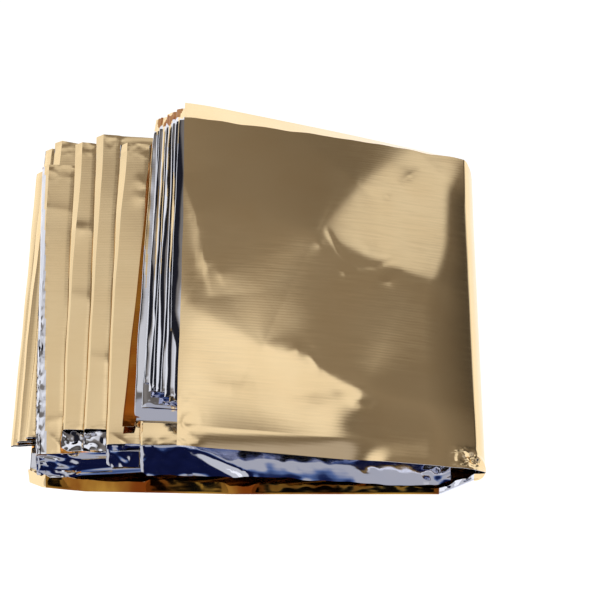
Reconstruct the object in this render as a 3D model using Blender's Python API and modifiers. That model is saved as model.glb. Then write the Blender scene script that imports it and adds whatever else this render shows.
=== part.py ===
"""Emergency foil blanket, part unfolded and lying on a flat surface.

The blanket is one metallised sheet, gold on one side and silver on the other. It is folded back and forth
into a stack of layers: a fan of stepped gold pleats on the left, and a packet of pleats with silver folds
on top of it, under a full gold panel. The sheet starts at the panel's free left edge, turns down round the
right side of the stack, runs back along the surface, climbs through the fan, turns up round the packet's
right side and comes down through the packet to its other free edge.

Row frame: metres, +Z up, X across the folds, -Y towards the stepped front ends of the layers. The origin
is at the centre of the footprint, on the surface.
"""

import math
from collections import namedtuple

import bmesh
import bpy
from mathutils import Matrix, Vector

MM = 0.001

# ---- Driving dimensions, in millimetres -------------------------------------------------------------

SHEET_THICKNESS = 1.0
LAYER_GAP = 0.38
PITCH = SHEET_THICKNESS + LAYER_GAP

FRONT_REFERENCE_Y = -85.0  # an edge's x_front and x_back are its places at these two depths
BACK_REFERENCE_Y = 85.0

RIGHT_FOLD_FIRST_X = -46.0  # the fan's hidden right folds, lowest first, are evenly spaced
RIGHT_FOLD_STEP_X = 15.43
SLOPE = 2 * PITCH / RIGHT_FOLD_STEP_X  # each pair of layers that ends lets those above it down

PANEL_RIGHT_X = 77.0
OUTER_TURN_REACH = 5.0  # how far the turn round the whole stack stands out to the right
INNER_TURN_X = 70.0
INNER_TURN_REACH = 4.6
PACKET_RIGHT_FOLD_X = 62.0
PACKET_RIGHT_FOLD_STEP_X = 1.0
PACKET_FREE_END_X = 60.0

OVERHANG_X = -121.0  # left of this the lowest pleats hang past the base fold and droop
OVERHANG_SLOPE = 0.33

FLAP_RUN_OUT = 7.0  # the fan's silver flaps get shorter over this length at both ends
FLAP_END_SHARE = 0.2

LIP_DEPTH = 2.0  # the base layer's front margin is turned up
LIP_HEIGHT = 4.0
LIP_RUN_OUT = 9.0  # the lip dies away over this length at both ends

PANEL_HEM_DEPTH = 11.0  # the panel's front margin is bent down along a crease
PANEL_HEM_DROOP = 2.5
BACK_ROLL_DEPTH = 8.5  # the panel and the packet roll off along their back edge
BACK_ROLL_DROOP = 4.0
PANEL_CROWN = 1.5

PACKET_LIFT = 4.5  # the packet stands clear of the fan at its front left corner
PACKET_LIFT_END_X = -5.0  # and comes down on it along this line

FOLD_BOW = 0.7  # how far the left folds bow in and out at mid-length
FOLD_BOW_PHASE = 2.4  # radians from one left fold to the next

# ---- How finely the sheet is divided ----------------------------------------------------------------

FOLD_REACH = PITCH / 2
FOLD_SEGMENTS = 3
TURN_SEGMENTS = 7
PANEL_COLUMNS = 12
FRONT_MARGIN = 3.0
BACK_MARGIN = 9.0
INNER_ROWS = 8
ROWS = INNER_ROWS + 6
LEAST_COLUMN_STEP = 2.0

# ---- The layers -------------------------------------------------------------------------------------

Layer = namedtuple(
    "Layer", "name x_front x_back front_left front_right back_left back_right flap droop"
)

# From the surface upwards. x is the left fold's place at the front and at the back. front and back are
# where the layer's front and back edges lie, at its left end and at its right end. A flap stands out past
# the front edge by the length given and hangs down there, by droop as a share of its height. The silver
# side of each "under" layer faces up, the gold side of each "over" layer.
FAN = (
    Layer("base_under", -119.5, -118.0, -98.0, -98.5, 67.0, 64.0, 0.0, 0.0),
    Layer("base_over", -119.5, -118.0, -94.0, -76.0, 67.0, 64.0, 0.0, 0.0),
    Layer("heel_1_under", -129.0, -126.0, -77.0, -76.0, 69.0, 64.0, 0.0, 0.0),
    Layer("heel_1_over", -129.0, -126.0, -77.0, -75.0, 69.0, 66.0, 0.0, 0.0),
    Layer("heel_2_under", -125.5, -122.0, -76.5, -75.0, 80.0, 66.0, 0.0, 0.0),
    Layer("heel_2_over", -125.5, -122.0, -76.5, -75.0, 80.0, 68.0, 0.0, 0.0),
    Layer("heel_3_under", -121.5, -117.5, -76.0, -75.0, 83.0, 68.0, 0.0, 0.0),
    Layer("heel_3_over", -121.5, -117.5, -76.0, -77.0, 83.0, 60.0, 0.0, 0.0),
    Layer("step_a_under", -116.0, -123.0, -86.0, -78.0, 67.0, 60.0, 6.0, 0.25),
    Layer("step_a_over", -116.0, -123.0, -86.0, -79.0, 67.0, 60.0, 0.0, 0.0),
    Layer("step_b_under", -104.3, -106.7, -75.0, -79.0, 80.0, 60.0, 9.0, 0.0),
    Layer("step_b_over", -104.3, -106.7, -75.0, -78.0, 80.0, 62.0, 0.0, 0.0),
    Layer("step_c_under", -94.7, -96.8, -76.0, -78.0, 80.5, 62.0, 9.0, 0.07),
    Layer("step_c_over", -94.7, -96.8, -76.0, -82.0, 80.5, 60.0, 0.0, 0.0),
    Layer("step_d_under", -84.4, -84.6, -85.0, -82.0, 77.0, 60.0, 7.0, 0.3),
    Layer("step_d_over", -84.4, -84.6, -85.0, -84.0, 77.0, 57.0, 0.0, 0.0),
    Layer("step_e_under", -69.5, -71.0, -86.0, -84.0, 75.0, 57.0, 8.0, 0.31),
    Layer("step_e_over", -69.5, -71.0, -86.0, -84.0, 75.0, 57.0, 0.0, 0.0),
)

# The packet's pleats, lowest first: each is a silver fold on the left with a layer above and one below it.
PACKET = (
    Layer("pleat_1", -72.0, -68.0, -76.6, -80.0, 86.5, 66.0, 0.0, 0.0),
    Layer("pleat_2", -68.6, -65.6, -75.8, -80.0, 86.0, 66.5, 0.0, 0.0),
    Layer("pleat_3", -65.6, -63.0, -72.0, -80.0, 84.5, 67.0, 0.0, 0.0),
    Layer("pleat_4", -62.4, -60.6, -69.0, -80.0, 85.0, 66.5, 0.0, 0.0),
    Layer("pleat_5", -59.4, -58.4, -73.0, -80.0, 84.0, 67.0, 0.0, 0.0),
    Layer("pleat_6", -56.4, -56.2, -74.5, -80.0, 83.5, 67.5, 0.0, 0.0),
)

PANEL = Layer("panel", -52.5, -54.0, -95.5, -95.5, 83.0, 68.0, 0.0, 0.0)

# The panel's long soft ridges. A ridge runs from its start to its end, and width is half its breadth.
Ridge = namedtuple("Ridge", "name start_x start_y end_x end_y rise width")

PANEL_RIDGES = (
    Ridge("left_corner", -50.0, 30.0, -40.0, -6.0, 1.1, 9.0),
    Ridge("middle_fall", 52.0, 55.0, 8.0, 8.0, 1.5, 16.0),
    Ridge("front_swell", -45.0, -25.0, 18.0, -62.0, 1.6, 15.0),
    Ridge("right_front", 36.0, -40.0, 66.0, -70.0, 1.0, 13.0),
)

FAN_LEVELS = len(FAN)
PACKET_TOP_LEVEL = FAN_LEVELS + 2 * len(PACKET) - 1
PANEL_LEVEL = PACKET_TOP_LEVEL + 1

GOLD = (0.78, 0.58, 0.27, 1.0)


def mix(a, b, share):
    return a + (b - a) * share


def layer_at(level):
    """The table row of a level, counted from the surface upwards."""
    if level < FAN_LEVELS:
        return FAN[level]
    if level < PANEL_LEVEL:
        return PACKET[(level - FAN_LEVELS) // 2]
    return PANEL


def right_end_x(level):
    """Where a level ends on the right: at a fold, at the start of a turn, or at the free edge."""
    if level in (0, PANEL_LEVEL):
        return PANEL_RIGHT_X
    if level in (FAN_LEVELS - 1, PACKET_TOP_LEVEL):
        return INNER_TURN_X
    if level < FAN_LEVELS:
        return RIGHT_FOLD_FIRST_X + RIGHT_FOLD_STEP_X * ((level - 1) // 2)
    if level == FAN_LEVELS:
        return PACKET_FREE_END_X
    return PACKET_RIGHT_FOLD_X + PACKET_RIGHT_FOLD_STEP_X * ((level - FAN_LEVELS - 1) // 2)


def left_end_x(level, y):
    """A left fold's place at a depth: the folds aren't quite straight, nor quite parallel."""
    layer = layer_at(level)
    share = (y - FRONT_REFERENCE_Y) / (BACK_REFERENCE_Y - FRONT_REFERENCE_Y)
    bow = FOLD_BOW * math.sin(FOLD_BOW_PHASE * (level // 2)) * math.sin(math.pi * clamp(share))
    return mix(layer.x_front, layer.x_back, share) + bow


def clamp(value):
    return max(0.0, min(1.0, value))


def panel_share(x):
    return (x - PANEL.x_front) / (PANEL_RIGHT_X - PANEL.x_front)


def share_along(level, x):
    """How far x is along a level, from 0 at its left fold to 1 at its right end."""
    layer = layer_at(level)
    left_x = (layer.x_front + layer.x_back) / 2
    return clamp((x - left_x) / (right_end_x(level) - left_x))


def front_edge_y(level, x):
    """The depth of a level's front edge at x, without its flap."""
    layer = layer_at(level)
    return mix(layer.front_left, layer.front_right, share_along(level, x))


def back_edge_y(level, x):
    layer = layer_at(level)
    return mix(layer.back_left, layer.back_right, share_along(level, x))


def flap_length(level, x):
    """How far a level's flap stands out in front of its front edge at x."""
    layer = layer_at(level)
    from_left = (x - max(layer.x_front, layer.x_back)) / FLAP_RUN_OUT
    from_right = (right_end_x(level) - x) / FLAP_RUN_OUT
    return layer.flap * mix(FLAP_END_SHARE, 1.0, clamp(min(from_left, from_right)))


def back_roll_start_y(x):
    """The line along which the panel and the packet start to roll off."""
    return mix(PANEL.back_left, PANEL.back_right, panel_share(x)) - BACK_ROLL_DEPTH


def lip_rise(x, y):
    """Height of the base layer's turned-up front margin."""
    from_left = (x - FAN[0].x_front) / LIP_RUN_OUT
    from_right = (PANEL_RIGHT_X - x) / LIP_RUN_OUT
    depth = clamp((front_edge_y(0, x) + LIP_DEPTH - y) / LIP_DEPTH)
    return LIP_HEIGHT * depth * clamp(min(from_left, from_right))


def ridge_rise(ridge, x, y):
    """The height of one ridge: a soft bell across its line, dying away towards both ends."""
    run_x = ridge.end_x - ridge.start_x
    run_y = ridge.end_y - ridge.start_y
    length = math.hypot(run_x, run_y)
    along = ((x - ridge.start_x) * run_x + (y - ridge.start_y) * run_y) / length ** 2
    across = ((x - ridge.start_x) * run_y - (y - ridge.start_y) * run_x) / length
    past_ends = max(0.0, -along, along - 1) * length
    return ridge.rise * math.exp(-(across ** 2 + past_ends ** 2) / ridge.width ** 2)


def panel_shape(x, y):
    """What the panel's crown and ridges add to its height, less the droop of its front hem."""
    behind_front = y - front_edge_y(PANEL_LEVEL, x)
    along = clamp(behind_front / (PANEL.back_left - PANEL.front_left))
    across = clamp(panel_share(x))
    crown = PANEL_CROWN * math.sin(math.pi * across) * math.sin(math.pi * along)
    ridges = sum(ridge_rise(ridge, x, y) for ridge in PANEL_RIDGES)
    return crown + ridges - PANEL_HEM_DROOP * clamp(1 - behind_front / PANEL_HEM_DEPTH)


def packet_lift(x, y):
    from_front = clamp((BACK_REFERENCE_Y - y) / (BACK_REFERENCE_Y - FRONT_REFERENCE_Y))
    from_left = clamp((PACKET_LIFT_END_X - x) / (PACKET_LIFT_END_X - PANEL.x_front))
    return PACKET_LIFT * from_front * from_left


def height(level, x, y):
    """Height of a level's middle surface above the floor."""
    z = SHEET_THICKNESS / 2 + PITCH * level
    if level == 0:
        return z + lip_rise(x, y)
    z -= SLOPE * max(0.0, x - RIGHT_FOLD_FIRST_X)
    if level > 1:
        z -= OVERHANG_SLOPE * max(0.0, OVERHANG_X - x)
    layer = layer_at(level)
    if layer.flap:
        z *= 1 - layer.droop * clamp((front_edge_y(level, x) - y) / layer.flap)
    if level >= FAN_LEVELS:
        z += packet_lift(x, y)
        z -= BACK_ROLL_DROOP * max(0.0, y - back_roll_start_y(x)) / BACK_ROLL_DEPTH
    if level == PANEL_LEVEL:
        z += panel_shape(x, y)
    return z


def row_depths(level, x):
    """The y of each row of points across a level, front to back. Breaks in height fall on a row."""
    front_y = front_edge_y(level, x) - flap_length(level, x)
    back_y = back_edge_y(level, x)
    if level == 0:
        front_break = front_y + LIP_DEPTH
    elif level == PANEL_LEVEL:
        front_break = front_y + PANEL_HEM_DEPTH
    elif layer_at(level).flap:
        front_break = front_edge_y(level, x)
    else:
        front_break = front_y + FRONT_MARGIN
    if level >= FAN_LEVELS:
        back_break = back_roll_start_y(x)
    else:
        back_break = back_y - BACK_MARGIN
    front_rows = [front_y, (front_y + front_break) / 2]
    inner_rows = [
        mix(front_break, back_break, i / (INNER_ROWS + 1)) for i in range(INNER_ROWS + 2)
    ]
    return front_rows + inner_rows + [(back_break + back_y) / 2, back_y]


def layer_column(level, x, follows_left_fold=False):
    """One column of points across a level, at x or along its left fold, front to back."""
    points = []
    for y in row_depths(level, x):
        at_x = left_end_x(level, y) if follows_left_fold else x
        points.append((at_x, y, height(level, at_x, y)))
    return points


def inner_columns_x(level):
    """Where a level's inner columns stand, so that each break in height falls on one."""
    layer = layer_at(level)
    right_x = right_end_x(level)
    left_limit = max(layer.x_front, layer.x_back) + LEAST_COLUMN_STEP
    if level == PANEL_LEVEL:
        spaced = [mix(PANEL.x_front, right_x, i / PANEL_COLUMNS) for i in range(2, PANEL_COLUMNS)]
        candidates = [RIGHT_FOLD_FIRST_X] + spaced
    elif level == 0:
        candidates = [layer.x_front + LIP_RUN_OUT, RIGHT_FOLD_FIRST_X, right_x - LIP_RUN_OUT]
    elif level < FAN_LEVELS:
        candidates = [OVERHANG_X + LEAST_COLUMN_STEP, RIGHT_FOLD_FIRST_X]
    else:
        candidates = [RIGHT_FOLD_FIRST_X, PACKET_LIFT_END_X]
    if layer.flap:
        candidates += [max(layer.x_front, layer.x_back) + FLAP_RUN_OUT, right_x - FLAP_RUN_OUT]
    columns = []
    for x in sorted(candidates):
        last_x = columns[-1] if columns else left_limit - LEAST_COLUMN_STEP
        if last_x + LEAST_COLUMN_STEP < x < right_x - LEAST_COLUMN_STEP:
            columns.append(x)
    return columns


def layer_columns(level, to_right):
    """The columns of a level, in the direction in which the sheet runs."""
    layer = layer_at(level)
    left_x = (layer.x_front + layer.x_back) / 2
    columns = [layer_column(level, left_x, follows_left_fold=True)]
    columns += [layer_column(level, x) for x in inner_columns_x(level)]
    columns.append(layer_column(level, right_end_x(level)))
    return columns if to_right else columns[::-1]


def turn_columns(start, end, reach, direction, segments):
    """The columns between two layers: half an ellipse that stands out by reach, without its two ends."""
    columns = []
    for i in range(1, segments):
        angle = math.pi * i / segments
        column = []
        for a, b in zip(start, end):
            middle = [(p + q) / 2 for p, q in zip(a, b)]
            half = [(p - q) / 2 for p, q in zip(a, b)]
            x, y, z = (m + h * math.cos(angle) for m, h in zip(middle, half))
            column.append((x + direction * reach * math.sin(angle), y, z))
        columns.append(column)
    return columns


def sheet_columns():
    """Every column of the sheet in order, from the panel's free edge to the packet's."""
    columns = layer_columns(PANEL_LEVEL, to_right=True)
    heading_right = True

    def go_on(level, reach, segments):
        nonlocal heading_right
        direction = 1 if heading_right else -1
        heading_right = not heading_right
        following = layer_columns(level, to_right=heading_right)
        columns.extend(turn_columns(columns[-1], following[0], reach, direction, segments))
        columns.extend(following)

    go_on(0, OUTER_TURN_REACH, TURN_SEGMENTS)
    for level in range(1, FAN_LEVELS):
        go_on(level, FOLD_REACH, FOLD_SEGMENTS)
    go_on(PACKET_TOP_LEVEL, INNER_TURN_REACH, TURN_SEGMENTS)
    for level in range(PACKET_TOP_LEVEL - 1, FAN_LEVELS - 1, -1):
        go_on(level, FOLD_REACH, FOLD_SEGMENTS)
    return columns


def clear_scene():
    for obj in list(bpy.data.objects):
        bpy.data.objects.remove(obj, do_unlink=True)


def foil_material():
    material = bpy.data.materials.new("gold_foil")
    material.use_nodes = True
    shader = material.node_tree.nodes["Principled BSDF"]
    shader.inputs["Base Color"].default_value = GOLD
    shader.inputs["Metallic"].default_value = 1.0
    shader.inputs["Roughness"].default_value = 0.22
    return material


def fold_flat_cut(bm, columns):
    """Move each point of the flat cut, a grid one unit wide and deep, to its place in the folded sheet."""
    last_column = len(columns) - 1
    last_row = ROWS - 1
    for vert in bm.verts:
        column = columns[round((vert.co.x + 0.5) * last_column)]
        x, y, z = column[round((vert.co.y + 0.5) * last_row)]
        vert.co = (x * MM, y * MM, z * MM)


def centre_on_origin(obj):
    """Bring the middle of the finished footprint to the origin."""
    bpy.context.view_layer.update()
    finished = obj.evaluated_get(bpy.context.evaluated_depsgraph_get())
    corners = [Vector(corner) for corner in finished.bound_box]
    lowest = [min(corner[axis] for corner in corners) for axis in (0, 1)]
    highest = [max(corner[axis] for corner in corners) for axis in (0, 1)]
    middle = [(low + high) / 2 for low, high in zip(lowest, highest)]
    obj.data.transform(Matrix.Translation((-middle[0], -middle[1], 0.0)))


def make_blanket(collection):
    """The flat cut, folded and then thickened to both sides."""
    columns = sheet_columns()
    mesh = bpy.data.meshes.new("blanket")
    bm = bmesh.new()
    bmesh.ops.create_grid(bm, x_segments=len(columns) - 1, y_segments=ROWS - 1, size=0.5)
    fold_flat_cut(bm, columns)
    bm.to_mesh(mesh)
    bm.free()
    mesh.materials.append(foil_material())
    blanket = bpy.data.objects.new("blanket", mesh)
    collection.objects.link(blanket)
    thickness = blanket.modifiers.new("thickness", "SOLIDIFY")
    thickness.thickness = SHEET_THICKNESS * MM
    thickness.offset = 0.0
    thickness.use_even_offset = True
    centre_on_origin(blanket)


def main():
    clear_scene()
    collection = bpy.data.collections.new("foil_blanket")
    bpy.context.scene.collection.children.link(collection)
    make_blanket(collection)


main()
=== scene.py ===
"""The looks of the emergency foil blanket: fine film, creases, crumples, foil finishes and studio light."""

import math
from collections import namedtuple

import bmesh
import bpy
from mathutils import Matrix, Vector, noise


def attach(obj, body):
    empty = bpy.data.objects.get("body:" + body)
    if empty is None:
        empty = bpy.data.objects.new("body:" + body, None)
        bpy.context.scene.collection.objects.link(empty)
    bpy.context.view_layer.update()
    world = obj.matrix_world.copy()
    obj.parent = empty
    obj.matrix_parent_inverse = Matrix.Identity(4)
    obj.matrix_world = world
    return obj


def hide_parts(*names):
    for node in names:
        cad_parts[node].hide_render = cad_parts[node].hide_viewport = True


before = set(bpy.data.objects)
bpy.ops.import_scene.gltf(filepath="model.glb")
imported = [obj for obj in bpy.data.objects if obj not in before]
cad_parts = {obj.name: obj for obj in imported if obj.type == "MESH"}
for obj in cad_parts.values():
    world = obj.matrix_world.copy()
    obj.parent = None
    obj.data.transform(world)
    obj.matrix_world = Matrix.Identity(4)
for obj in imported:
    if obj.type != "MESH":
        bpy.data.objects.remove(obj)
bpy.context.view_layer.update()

MM = 0.001

# ---- The folded sheet, in millimetres ----
# The sheet is one long strip, folded back and forth. X runs to the right, y away from the camera and z up.
# A level is one layer of it, counted from the surface up: the base, the heel and the steps of the fan, the
# pleats of the packet, and the panel on top. An under layer and the over layer above it share a left fold.
# A pair says where something starts or ends, and the width over which it does so softly.

FILM = 0.16  # the film's thickness; each modelled layer stands for several plies
PITCH = 1.38  # from one of the fan's layers to the next
LOWEST_GAP = 0.42  # what the fan stands clear of the surface
FRONT_REFERENCE_Y = -85.0  # the layer tables give the left folds at these two depths
BACK_REFERENCE_Y = 85.0

# Where the tables' zero lies in the row frame.
PLAN_ORIGIN = Vector((23.755, 6.086, 0.0)) * MM

# To the right the fan's layers end pair by pair, so the stack slopes down. What lies above the steps
# starts to slope softly.
RIGHT_FOLD_FIRST_X = -46.0
RIGHT_FOLD_STEP_X = 15.43
SLOPE = 2 * PITCH / RIGHT_FOLD_STEP_X
SLOPE_SOFTNESS = 3.5
SLOPE_DELAY = -1.0

# The wide turn from the panel to the base, the turn from the fan to the packet, and the ends inside them.
PANEL_RIGHT_X = 77.0
OUTER_TURN_HANDLES = (3.75, 8.75)  # of its curve, at the panel and on the surface
INNER_TURN_X = 70.0
INNER_TURN_REACH = 4.6
INNER_TURN_MARGIN = 2.0
PACKET_RIGHT_FOLD_X = 62.0
PACKET_RIGHT_FOLD_STEP_X = 0.6
PACKET_FREE_END_X = 60.0

# The left folds bow and waver, and what reaches past the base at the left hangs down a little.
FOLD_BOW = 0.7
FOLD_BOW_PHASE = 2.4  # in radians, from one fold to the next
FOLD_WAVER = 0.35
FOLD_WAVER_LENGTH = 24.0
OVERHANG_X = -121.0
OVERHANG_SLOPE = 0.12

# A step of the fan slopes down to its left fold in a band that widens to the back, from a share of the
# depth on.
PUFF_FRONT = 0.8
PUFF_BACK = 3.2
PUFF_START = 0.35
PUFF_SLOPE = 0.75
PUFF_SHARE_UNDER = 0.45

# It sinks where the next step lies on it.
DIP_WIDTH = 2.4
DIP_DEPTH = 0.45

# The flaps at the front: how their drop grows to the free edge, how low they reach, and their ragged ends.
FLAP_BEND = 1.05
FLAP_FOOT_Z = 2.6
FLAP_LEFT_CORNER = 3.0
FLAP_RIGHT_CORNER = 7.0
FLAP_CORNER_SHARE = 0.85
FLAP_RAGGED = 0.08
FLAP_RAGGED_LENGTH = 9.0

# The last flap hangs at the left and flattens out into a shelf along a slanting line.
SHELF_LEVEL = 16
SHELF_RIGHT_X = 66.5
SHELF_TOP_X = -57.0
SHELF_FOOT_X = -29.0
SHELF_BLEND = 9.0
SHELF_DROP = 4.15

# Its free edge curls down in the middle.
SHELF_CURL = 0.7
SHELF_CURL_LEFT = (-27.0, 4.0)
SHELF_CURL_RIGHT = (27.0, 8.0)

# At the right it's lifted clear of the surface. At the left it's more crumpled.
SHELF_LIFT_FRONT = (-70.0, 14.0)
SHELF_LEFT_CRUMPLING = 4.0
SHELF_LEFT = (-50.0, 15.0)

# Step E bends down at its front. Step F curls up a little at its left fold and settles at its front.
STEP_E_DROOP = 0.9
STEP_E_DROOP_DEPTH = 10.0
STEP_F_CURL = 0.2
STEP_F_CURL_WIDTH = 5.0
STEP_F_SETTLE = 0.65
STEP_F_SETTLE_DEPTH = 9.0
STEP_F_SETTLE_BEND = 1.5

# The packet's left end stands above the fan: not at the back, and by the whole lift from the middle to
# the front. The lowest pleats are lifted less.
PACKET_LIFT = 4.5
LOWEST_PLEAT_LIFT = 0.35
WHOLE_LIFT_PLEAT = 4
PACKET_LIFT_END_X = -5.0
LIFT_TOP_Y = -25.0
LIFT_SOFTNESS = 0.04

# Each pleat, from the lowest up, hangs down to its left fold by its droop, over its own bend.
PLEAT_BENDS = (3.0,) * 8 + (6.5,)
PLEAT_DROOPS = (0.1, 0.75, 0.35, 0.9, 0.5, 0.95, 0.5, 0.8, 1.2)
PLEAT_SHARE_UNDER = 0.5
PLEAT_WAVER = 0.5
PLEAT_WAVER_LENGTH = 40.0
PLEAT_RIPPLE_SHARE = 0.4
PLEAT_RIPPLE_LENGTH = 9.0
LAST_PLEAT_FRONT = (-30.0, 20.0)
LAST_PLEAT_FRONT_DROOP = 1.5

# The lowest pleats bend down at the front.
FRONT_DROOPS = (4.3, 3.0, 1.3)
FRONT_DROOP_BEND = 1.3
FRONT_DROOP_DEPTH = 13.0

# The back edge of the packet and the panel rolls down, deeper to the left.
BACK_ROLL_LEFT = 13.5
BACK_ROLL_RIGHT = 4.0
BACK_ROLL_DROOP = 6.5
BACK_ROLL_WAVE = 0.9
BACK_ROLL_WAVE_LENGTH = 11.0

# The panel is crowned, and its front edge bends down, less at the left and not at the right.
PANEL_CROWN = 2.8
PANEL_FADE_DEPTH = 30.0
PANEL_HEM_DEPTH = 9.0
PANEL_HEM_DROOP = 1.9
PANEL_HEM_BEND = 1.5
PANEL_HEM_LEFT_SHARE = 0.35
PANEL_HEM_LEFT_WIDTH = 14.0
PANEL_HEM_RIGHT = (40.0, 25.0)

# It bends down to the right turn, from further in at the front.
RIGHT_FALL_SLOPE = 0.24
RIGHT_FALL_FRONT_X = 55.0
RIGHT_FALL_BACK_X = 65.0
RIGHT_FALL_TO_BACK = (-25.0, 45.0)
RIGHT_FALL_FADE = 30.0

# Its front corners are crumpled.
CORNER_CRUMPLE = 1.3
CORNER_CRUMPLE_SIZE = 6.0
RIGHT_CORNER_X = (64.0, 9.0)
RIGHT_CORNER_Y = (-84.0, 6.0)
LEFT_CORNER_X = (-40.0, 8.0)
LEFT_CORNER_Y = (-70.0, 6.0)
LEFT_CORNER_SHARE = 0.08

# The layers below are uneven all over, and crumpled towards their front and back edges. Their flaps are
# more so at the right.
STRIP_WAVE = 0.10
STRIP_WAVE_LENGTH_X = 14.0
STRIP_WAVE_LENGTH_Y = 30.0
FRONT_CRUMPLE_DEPTH = 5.0
FRONT_CRUMPLE_SIZE = 7.0
BACK_CRUMPLE = 0.12
BACK_CRUMPLE_DEPTH = 12.0
BACK_CRUMPLE_SIZE = 6.0
FLAP_RIGHT = (50.0, 14.0)
FLAP_RIGHT_CRUMPLE = 1.1

# The lowest step's flap is crumpled in long streaks, and the step has a narrow silver edge, which is
# crumpled at the front and calmer and narrower to the back.
STREAK_STRETCH = 5.0
STREAK_SIZE = 2.6
SILVER_EDGE_FRONT = 4.2
SILVER_EDGE_BACK = 0.6
SILVER_EDGE_CRUMPLE = 0.6
SILVER_FOLD_WIDTH = 2.0
SILVER_FOLD_LENGTH = 6.76
SILVER_EDGE_CALM = 0.15
SILVER_EDGE_CALMING = 1.6

# The base's front margin is turned up and back on itself into a hem.
HEM_RADIUS = 1.1
HEM_DEPTH_LEFT = 6.4
HEM_DEPTH_RIGHT = 1.3
HEM_SHARE = 0.6  # how many of the margin's rows are in the turned-up part
HEM_TILT_WAVE = 4.0
HEM_TILT_WAVE_LENGTH = 9.0
HEM_WAVE = 0.8
HEM_WAVE_LENGTH = 13.0
HEM_CRUMPLE = 0.5
HEM_CRUMPLE_SIZE = 7.0
HEM_CORNER_CRUMPLING = 4.0
HEM_CORNER = (57.0, 6.0)

# Where the hem, the margin behind it, the last step and the packet change their foil, and where painted
# shade in amber and honey goes on them.
HEM_TOP_Z = 0.9
HEM_SHADE_X = -112.5
HEM_SILVER_X = 61.0
SILVER_MARGIN = 14.0
LAST_STEP_Z = 24.36
LAST_STEP_SHADE_WIDTH = 8.0
PACKET_GOLD_Y = 76.0
PACKET_GOLD_WAVE = 4.5
PACKET_GOLD_WAVE_LENGTH = 2.0
PACKET_SHADE_FROM = -0.05
PACKET_SHADE_WIDTH = 2.5
PACKET_SHADE_LENGTH = 12.0
PACKET_STREAK_Y = -10.0
PACKET_STREAK_FROM = 0.25
PACKET_STREAK_WIDTH = 1.5
PACKET_STREAK_LENGTH = 70.0

# A layer has a left fold (its x at the front and the back reference), a front and a back edge (their y at
# the left end, and then at the right end), a crumpled front, and some have a flap, which reaches past the
# front edge. Its free edge hangs down by the droop, or curls up where that is negative.
Layer = namedtuple(
    "Layer",
    "name x_front x_back front_left back_left front_right back_right crumple flap droop",
    defaults=(0.1, 0.0, 0.0),
)

# The fan, from the surface up. A row gives what a fold's two layers share, and then what the under and the
# over layer have of their own.
FOLDS = (
    ("base", -119.5, -118, -91.5, 67, (-76, 64), (-76, 64, 0.9)),
    ("heel_1", -129, -126, -77, 69, (-76, 64), (-75, 66)),
    ("heel_2", -125.5, -122, -76.5, 80, (-75, 66), (-75, 68)),
    ("heel_3", -121.5, -117.5, -76, 83, (-75, 68), (-77, 60)),
    ("step_a", -116, -123, -86, 67, (-78, 60, 0.8, 9.0, 4.6), (-79, 60)),
    ("step_b", -104.3, -106.7, -75, 78, (-79, 60, 0.9, 11.5, -3.4), (-78, 62)),
    ("step_c", -94.7, -96.8, -76, 80.5, (-78, 70, 0.9, 11.0, -2.0), (-82, 70)),
    ("step_d", -84.4, -84.6, -85, 74, (-82, 60, 0.55, 8.0, 5.8), (-84, 57)),
    ("step_e", -69.5, -71, -86, 72, (-85, 57, 0.1, 10.8, 7.5), (-84, 57)),
    ("step_f", -77.5, -68.8, -78, 70, (-80, 57), (-80, 57)),
)
FAN = tuple(
    Layer(name + side, *shared, *own)
    for name, *shared, under, over in FOLDS
    for side, own in (("_under", under), ("_over", over))
)

# The packet, from its lowest pleat up: a pleat's under and over layer are alike.
PACKET = tuple(Layer("pleat", *pleat) for pleat in (
    (-72.2, -68.2, -75, 86.5, -80, 66, 0.25),
    (-69.2, -66.8, -70.3, 86.2, -80, 66, 0.3),
    (-68, -65.4, -60.3, 85, -80, 66.5, 0.3),
    (-65.4, -63.8, -66.4, 84.5, -80, 66.5, 0.4),
    (-64.2, -62.4, -66, 85.5, -80, 67, 0.3),
    (-62, -60.8, -68.5, 85, -80, 66.5, 0.3),
    (-59.8, -59.2, -70, 83.5, -80, 67, 0.3),
    (-58, -57.6, -73, 84.5, -80, 67, 0.3),
    (-55.8, -55.8, -75.5, 83.5, -80, 67.5, 0.3),
))

PANEL = Layer("panel", -52.5, -54, -97.5, 86.5, -96, 68.5)

FAN_LEVELS = len(FAN)
PACKET_TOP_LEVEL = FAN_LEVELS + 2 * len(PACKET) - 1
PANEL_LEVEL = PACKET_TOP_LEVEL + 1
STEP_A_TOP = 9  # the level of its over layer
STEP_F_TOP = FAN_LEVELS - 1

# Front edges that aren't straight, through points given as x and y.
STEP_F_FRONT = ((-78, -78), (-68.6, -78), (-67.8, -74), (77, -74))
FRONT_EDGES = {
    "base_under": ((-119.5, -93.6), (-113, -96.2), (-95, -98.2), (-30, -99.6), (62, -99.6), (77, -93)),
    "step_f_under": STEP_F_FRONT,
    "step_f_over": STEP_F_FRONT,
}

# How steeply the hem stands, in degrees, through points given as x and tilt.
HEM_TILTS = (
    (-119.5, 63), (-113, 63), (-110, 32), (-104, 32), (-101, 63), (-69, 64), (-66, 38), (-34, 38),
    (-31, 63), (-22, 63), (-18, 26), (20, 24), (58, 24), (63, 38), (77, 38),
)

# The fan's steps lie a pitch apart up to the last, and what is above shares the packet's height.
STEPS_TOP_LEVEL = 17
STACK_PITCHES = 30
UPPER_PITCH = PITCH * (STACK_PITCHES - STEPS_TOP_LEVEL) / (PANEL_LEVEL - STEPS_TOP_LEVEL)

# ---- Swells and creases ----
# A fold line has a crest through its points, given as x, y and the rise there. It falls away over one
# width on its left side, seen from its first point to its last, and over another on its right. A negative
# rise makes a valley. Crest is the radius that rounds the line: 0.3 is a sharp crease, and 6 a swell.

FoldLine = namedtuple("FoldLine", "left_width right_width crest points")

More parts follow.
